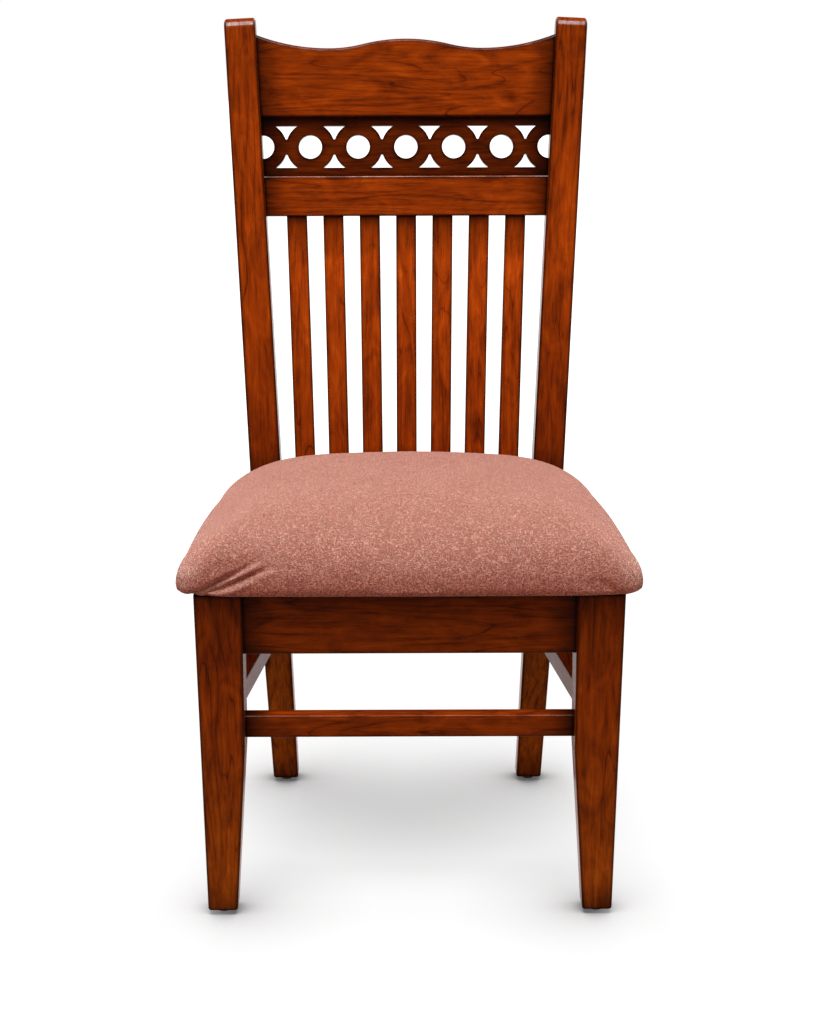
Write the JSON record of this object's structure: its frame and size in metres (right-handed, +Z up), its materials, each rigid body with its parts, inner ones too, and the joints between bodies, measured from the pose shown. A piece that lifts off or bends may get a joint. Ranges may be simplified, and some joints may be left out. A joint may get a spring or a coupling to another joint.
{
  "type": "dining chair",
  "caption": "Wooden dining chair with a leaning slatted back, a pierced ring fret under a wavy crest rail, square stretchered legs and a crowned upholstered seat.",
  "frame": {"origin": "on the floor, under the middle of the chair's box", "axes": "+Z up, the front of the chair faces -Y, the sitter's right-hand side is -X"},
  "size_m": [0.525, 0.5263, 1.0028],
  "materials": {
    "lacquered_wood": "gloss lacquer",
    "bare_wood": "planed",
    "screw_steel": "zinc plated",
    "seat_fabric": "chenille",
    "seat_foam": "cut foam",
    "plywood": "sawn",
    "dust_cloth": "non-woven",
    "glide_metal": "bronzed"
  },
  "bodies": {
    "root": {"front_leg_left": "lacquered_wood", "front_leg_right": "lacquered_wood", "back_post_left": "lacquered_wood", "back_post_right": "lacquered_wood", "front_seat_rail": "lacquered_wood", "rear_seat_rail": "lacquered_wood", "side_seat_rail_left": "lacquered_wood", "side_seat_rail_right": "lacquered_wood", "front_stretcher": "lacquered_wood", "rear_stretcher": "lacquered_wood", "side_stretcher_left": "lacquered_wood", "side_stretcher_right": "lacquered_wood", "crest_rail": "lacquered_wood", "ring_fret_panel": "lacquered_wood", "middle_back_rail": "lacquered_wood", "lower_back_rail": "lacquered_wood", "back_slat_1": "lacquered_wood", "back_slat_2": "lacquered_wood", "back_slat_3": "lacquered_wood", "back_slat_4": "lacquered_wood", "back_slat_5": "lacquered_wood", "back_slat_6": "lacquered_wood", "back_slat_7": "lacquered_wood", "corner_block_front_left": "bare_wood", "corner_block_front_right": "bare_wood", "corner_block_rear_left": "bare_wood", "corner_block_rear_right": "bare_wood", "corner_block_screws": "screw_steel", "seat_screws": "screw_steel", "seat_cover": "seat_fabric", "seat_foam": "seat_foam", "seat_board": "plywood", "dust_cover": "dust_cloth", "foot_glide_front_left": "glide_metal", "foot_glide_front_right": "glide_metal", "foot_glide_rear_left": "glide_metal", "foot_glide_rear_right": "glide_metal"}
  },
  "joints": []
}
